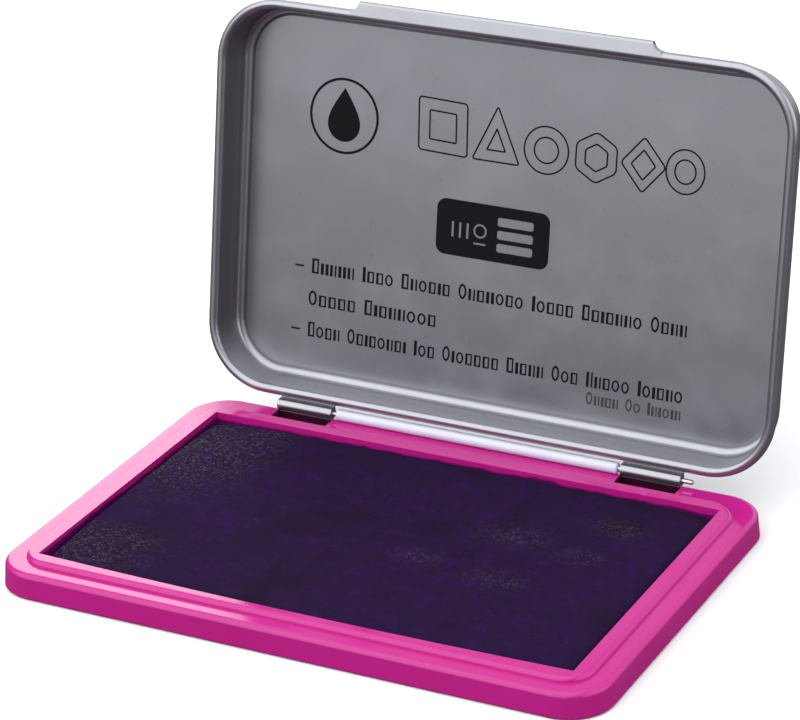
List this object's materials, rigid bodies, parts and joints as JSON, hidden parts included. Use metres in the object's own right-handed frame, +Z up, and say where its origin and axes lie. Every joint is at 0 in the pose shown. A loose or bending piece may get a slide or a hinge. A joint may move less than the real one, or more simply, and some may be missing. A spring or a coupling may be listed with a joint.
{
  "type": "ink pad",
  "caption": "Hinged ink pad for rubber stamps: a moulded tray holding an inked cloth pad under a shallow pressed metal lid that swings on a wire hinge.",
  "frame": {"origin": "centre of the tray's flat underside, which rests on the table", "axes": "+X along the hinge wire to the right as seen from the front, +Y from the front of the tray towards the hinge, +Z up; the lid is stored standing open"},
  "size_m": [0.0996, 0.0835, 0.0719],
  "materials": {
    "tray_plastic": "glossy moulded plastic, magenta",
    "barrel_plastic": "glossy white plastic",
    "wire_steel": "drawn bright wire",
    "felt": "ink-soaked felt",
    "pad_cloth": "fine woven cloth soaked in dark violet ink",
    "lid_metal": "satin silver lacquer on pressed sheet steel"
  },
  "bodies": {
    "base": {"tray": "tray_plastic", "hinge_barrel": "barrel_plastic", "hinge_wire": "wire_steel", "pad_felt": "felt", "pad_cloth": "pad_cloth"},
    "lid": {"lid_shell": "lid_metal", "curl_left": "lid_metal", "curl_right": "lid_metal"}
  },
  "joints": [
    {"name": "lid_hinge", "type": "hinge", "parent": "base", "child": "lid", "pos_m": [0, 0.0329, 0.005], "axis": [1, 0, 0], "range_deg": [0, 99.5]}
  ]
}
